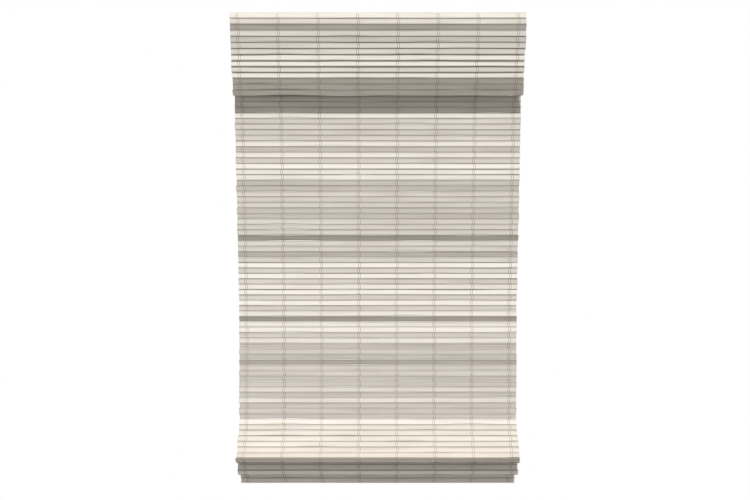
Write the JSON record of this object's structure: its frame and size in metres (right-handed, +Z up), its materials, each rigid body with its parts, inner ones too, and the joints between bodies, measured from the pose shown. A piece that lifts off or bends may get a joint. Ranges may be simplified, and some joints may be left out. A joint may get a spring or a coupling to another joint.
{
  "type": "roman blind",
  "caption": "Cordless woven-wood roman blind: flat bamboo slats in warp threads under a slatted valance, drawn part way up into hanging folds, on a sprung headrail.",
  "frame": {"origin": "middle of the four bracket screw holes, on the brackets' top face, with everything hanging below it", "axes": "+X to the right seen from the room, -Y out of the blind's front into the room, +Z up"},
  "size_m": [0.584, 0.0796, 0.9708],
  "materials": {
    "bamboo": "white-washed, open grain",
    "batten_wood": "plain sanded",
    "rail_steel": "off-white enamel",
    "bright_steel": "plain zinc",
    "ring_nickel": "dull nickel",
    "white_plastic": "moulded, matt",
    "cord": "braided polyester",
    "tape": "hook-and-loop pile"
  },
  "bodies": {
    "headrail": {"headrail": "rail_steel", "end_caps": "white_plastic", "ceiling_brackets": "rail_steel", "spool_cradles": "white_plastic", "motor_case": "white_plastic", "motor_lid": "white_plastic", "storage_pin": "bright_steel", "motor_spring": "bright_steel", "panel_hanger": "rail_steel", "clamp_bar": "rail_steel", "clamp_screws": "bright_steel", "hanger_rivets": "bright_steel", "valance_hook_tape": "tape", "valance_loop_tape": "tape", "valance_slats": "bamboo", "top_slats": "bamboo", "lift_rings_1": "ring_nickel", "lift_cords": "cord"},
    "lift_shaft": {"lift_shaft": "bright_steel", "cord_spools": "white_plastic", "cord_windings": "cord", "output_drum": "white_plastic"},
    "storage_drum": {"storage_drum": "white_plastic"},
    "pleat_1": {"pleat_slats_1": "bamboo"},
    "pleat_2": {"pleat_slats_2": "bamboo", "lift_rings_2": "ring_nickel"},
    "pleat_3": {"pleat_slats_3": "bamboo"},
    "pleat_4": {"pleat_slats_4": "bamboo", "lift_rings_3": "ring_nickel"},
    "pleat_5": {"pleat_slats_5": "bamboo"},
    "pleat_6": {"pleat_slats_6": "bamboo", "lift_rings_4": "ring_nickel"},
    "pleat_7": {"pleat_slats_7": "bamboo"},
    "pleat_8": {"pleat_slats_8": "bamboo"},
    "ring_row": {"ring_row_slat": "bamboo", "lift_rings_5": "ring_nickel"},
    "front_loop": {"front_loop_slats": "bamboo"},
    "front_loop_back": {"front_loop_return": "bamboo"},
    "rear_loop": {"rear_loop_slats": "bamboo", "lift_rings_6": "ring_nickel"},
    "rear_loop_back": {"rear_loop_return": "bamboo"},
    "hem": {"hem_slats": "bamboo", "lift_rings_7": "ring_nickel", "bottom_batten": "batten_wood", "cord_anchors": "white_plastic"}
  },
  "joints": [
    {"name": "raise", "type": "hinge", "parent": "headrail", "child": "pleat_1", "pos_m": [0, 0.00475, -0.1922], "axis": [-1, 0, 0], "range_deg": [0, 76], "deforming": ["lift_cords"]},
    {"name": "fold_2", "type": "hinge", "parent": "pleat_1", "child": "pleat_2", "pos_m": [0, 0.00725, -0.272], "axis": [-1, 0, 0], "range_deg": [-152, 0]},
    {"name": "fold_3", "type": "hinge", "parent": "pleat_2", "child": "pleat_3", "pos_m": [0, 0.00475, -0.3518], "axis": [-1, 0, 0], "range_deg": [0, 152]},
    {"name": "fold_4", "type": "hinge", "parent": "pleat_3", "child": "pleat_4", "pos_m": [0, 0.00725, -0.4316], "axis": [-1, 0, 0], "range_deg": [-152, 0]},
    {"name": "fold_5", "type": "hinge", "parent": "pleat_4", "child": "pleat_5", "pos_m": [0, 0.00475, -0.5114], "axis": [-1, 0, 0], "range_deg": [0, 152]},
    {"name": "fold_6", "type": "hinge", "parent": "pleat_5", "child": "pleat_6", "pos_m": [0, 0.00725, -0.5912], "axis": [-1, 0, 0], "range_deg": [-152, 0]},
    {"name": "fold_7", "type": "hinge", "parent": "pleat_6", "child": "pleat_7", "pos_m": [0, -0.00081, -0.67063], "axis": [-1, 0, 0], "range_deg": [0, 152]},
    {"name": "fold_8", "type": "hinge", "parent": "pleat_7", "child": "pleat_8", "pos_m": [0, -0.00944, -0.75], "axis": [-1, 0, 0], "range_deg": [-152, 0]},
    {"name": "ring_row_level", "type": "hinge", "parent": "pleat_8", "child": "ring_row", "pos_m": [0, -0.0175, -0.82943], "axis": [-1, 0, 0], "range_deg": [0, 76]},
    {"name": "unfold_front_loop", "type": "hinge", "parent": "ring_row", "child": "front_loop", "pos_m": [0, -0.01906, -0.84101], "axis": [-1, 0, 0], "range_deg": [-29, 0]},
    {"name": "lower", "type": "hinge", "parent": "front_loop", "child": "front_loop_back", "pos_m": [0, -0.05611, -0.90873], "axis": [-1, 0, 0], "range_deg": [0, 172]},
    {"name": "unfold_rear_loop", "type": "hinge", "parent": "front_loop_back", "child": "rear_loop", "pos_m": [0, -0.01293, -0.85558], "axis": [-1, 0, 0], "range_deg": [-167, 0]},
    {"name": "unfold_rear_loop_back", "type": "hinge", "parent": "rear_loop", "child": "rear_loop_back", "pos_m": [0, -0.04129, -0.941], "axis": [-1, 0, 0], "range_deg": [0, 177]},
    {"name": "unfold_hem", "type": "hinge", "parent": "rear_loop_back", "child": "hem", "pos_m": [0, -0.01319, -0.89135], "axis": [-1, 0, 0], "range_deg": [-156, 0]},
    {"name": "shaft_turn", "type": "hinge", "parent": "headrail", "child": "lift_shaft", "pos_m": [0, 0.006, -0.016], "axis": [1, 0, 0], "range_deg": [0, 3844]},
    {"name": "storage_turn", "type": "hinge", "parent": "headrail", "child": "storage_drum", "pos_m": [0, -0.0095, -0.016], "axis": [1, 0, 0], "range_deg": [0, 3324.54]}
  ],
  "couplings": [
    {"joint": "fold_2", "follows": "raise", "ratio": -2},
    {"joint": "fold_3", "follows": "raise", "ratio": 2},
    {"joint": "fold_4", "follows": "raise", "ratio": -2},
    {"joint": "fold_5", "follows": "raise", "ratio": 2},
    {"joint": "fold_6", "follows": "raise", "ratio": -2},
    {"joint": "fold_7", "follows": "raise", "ratio": 2},
    {"joint": "fold_8", "follows": "raise", "ratio": -2},
    {"joint": "ring_row_level", "follows": "raise", "ratio": 1},
    {"joint": "unfold_front_loop", "follows": "lower", "ratio": -0.1686},
    {"joint": "unfold_rear_loop", "follows": "lower", "ratio": -0.97093},
    {"joint": "unfold_rear_loop_back", "follows": "lower", "ratio": 1.0291},
    {"joint": "unfold_hem", "follows": "lower", "ratio": -0.90698},
    {"joint": "shaft_turn", "follows": "raise", "ratio": 50.579},
    {"joint": "storage_turn", "follows": "raise", "ratio": 43.744}
  ]
}
